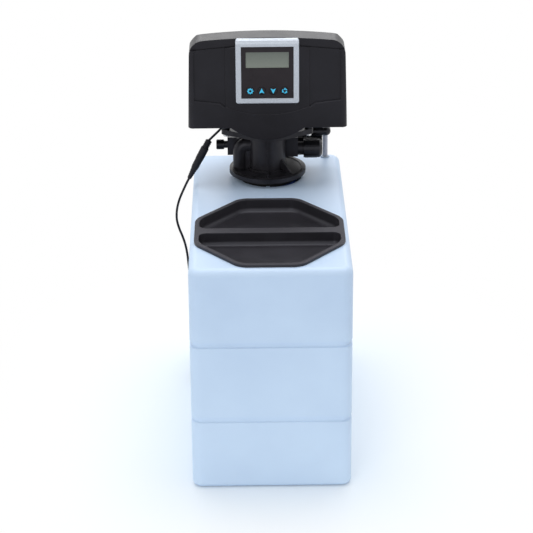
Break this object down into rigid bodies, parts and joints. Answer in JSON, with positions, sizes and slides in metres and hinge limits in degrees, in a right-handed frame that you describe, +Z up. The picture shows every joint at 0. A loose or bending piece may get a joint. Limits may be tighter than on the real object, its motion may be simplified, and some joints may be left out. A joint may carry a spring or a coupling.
{
  "type": "cabinet water softener",
  "caption": "Cabinet water softener: pale salt cabinet with lift-off octagonal lid, resin tank, motor-driven disc valve and dark control head with display and keys.",
  "frame": {"origin": "centre of the cabinet's footprint, on the floor", "axes": "+Z up, +Y from the front to the back, +X to the right of a viewer who faces the front"},
  "size_m": [0.2565, 0.5286, 0.5716],
  "materials": {
    "cabinet_shell": "satin, pale blue white",
    "lid_plastic": "fine grain, charcoal",
    "tank_shell": "wound glass-fibre shell, blue",
    "boot_rubber": "matt black",
    "resin_beads": "amber beads",
    "pipe_plastic": "off white",
    "seal_rubber": "smooth black",
    "valve_plastic": "glass-filled black, satin",
    "ceramic": "lapped ceramic, off white",
    "carbon": "lapped, dark grey",
    "nylon": "natural nylon",
    "gear_plastic": "black acetal",
    "motor_steel": "plated can",
    "circuit": "green board",
    "screw_steel": "plain",
    "head_plastic": "charcoal, fine grain",
    "bezel_silver": "silver paint, satin",
    "panel_face": "dark film",
    "display": "grey green display",
    "button_face": null,
    "switch_plastic": "black",
    "injector_red": "red nylon",
    "fitting_black": "satin black",
    "tube_grey": "grey polythene",
    "well_plastic": "white",
    "float_plastic": "white foam",
    "lead_rubber": "black sheath",
    "adapter_case": "black, fine grain",
    "pin_brass": "plated"
  },
  "bodies": {
    "housing": {"cabinet": "cabinet_shell", "resin_tank": "tank_shell", "tank_boot": "boot_rubber", "resin_bed": "resin_beads", "riser_pipe": "pipe_plastic", "lower_distributor": "pipe_plastic", "upper_strainer": "pipe_plastic", "tank_o_ring": "seal_rubber", "valve_body": "valve_plastic", "disc_seal": "seal_rubber", "fixed_disc": "ceramic", "retaining_cap": "valve_plastic", "drive_motor": "motor_steel", "motor_bracket": "gear_plastic", "position_board": "circuit", "head_base": "head_plastic", "base_bolts": "screw_steel", "front_cover": "head_plastic", "rear_cover": "head_plastic", "cover_screws": "screw_steel", "bezel": "bezel_silver", "display_panel": "panel_face", "lcd_module": "display", "control_board": "circuit", "small_screws": "screw_steel", "button_switches": "switch_plastic", "injector_cap": "fitting_black", "injector_nozzle": "injector_red", "brine_elbow": "fitting_black", "brine_nut": "fitting_black", "brine_tube": "tube_grey", "tube_grommet": "seal_rubber", "brine_well": "well_plastic", "float_valve": "pipe_plastic", "overflow_elbow": "fitting_black", "drain_nut": "fitting_black", "turbine_cage": "pipe_plastic", "cable_gland": "lead_rubber", "pigtail": "lead_rubber", "dc_socket": "lead_rubber", "dc_plug": "lead_rubber", "power_lead": "lead_rubber", "lead_coil": "lead_rubber", "coil_tie": "switch_plastic", "power_adapter": "adapter_case", "adapter_pins": "pin_brass"},
    "lid": {"salt_lid": "lid_plastic"},
    "menu_key": {"button_menu": "button_face"},
    "up_key": {"button_up": "button_face"},
    "down_key": {"button_down": "button_face"},
    "regen_key": {"button_regen": "button_face"},
    "disc_drive": {"moving_disc": "carbon", "disc_driver": "nylon", "drive_gear": "gear_plastic"},
    "pinion": {"drive_pinion": "nylon"},
    "flow_wheel": {"turbine": "nylon"},
    "float": {"float_rod": "pipe_plastic", "brine_float": "float_plastic"},
    "cap": {"well_cap": "fitting_black"}
  },
  "joints": [
    {"name": "lid_lift", "type": "slide", "parent": "housing", "child": "lid", "axis": [0, 0, 1], "range_m": [0, 0.15]},
    {"name": "menu_press", "type": "slide", "parent": "housing", "child": "menu_key", "axis": [0, 1, 0], "range_m": [0, 0.001], "stiffness_N_per_m": 600},
    {"name": "up_press", "type": "slide", "parent": "housing", "child": "up_key", "axis": [0, 1, 0], "range_m": [0, 0.001], "stiffness_N_per_m": 600},
    {"name": "down_press", "type": "slide", "parent": "housing", "child": "down_key", "axis": [0, 1, 0], "range_m": [0, 0.001], "stiffness_N_per_m": 600},
    {"name": "regen_press", "type": "slide", "parent": "housing", "child": "regen_key", "axis": [0, 1, 0], "range_m": [0, 0.001], "stiffness_N_per_m": 600},
    {"name": "disc_turn", "type": "hinge", "parent": "housing", "child": "disc_drive", "pos_m": [0, 0.131, 0.45], "axis": [0, 0, 1], "continuous": true},
    {"name": "pinion_spin", "type": "hinge", "parent": "housing", "child": "pinion", "pos_m": [0.04, 0.131, 0.469], "axis": [0, 0, 1], "continuous": true},
    {"name": "turbine_spin", "type": "hinge", "parent": "housing", "child": "flow_wheel", "pos_m": [0.032, 0.2, 0.378], "axis": [0, 1, 0], "continuous": true},
    {"name": "float_lift", "type": "slide", "parent": "housing", "child": "float", "axis": [0, 0, 1], "range_m": [0, 0.012]},
    {"name": "well_cap_lift", "type": "slide", "parent": "housing", "child": "cap", "axis": [0, 0, 1], "range_m": [0, 0.04]}
  ],
  "couplings": [
    {"joint": "pinion_spin", "follows": "disc_turn", "ratio": -3}
  ]
}
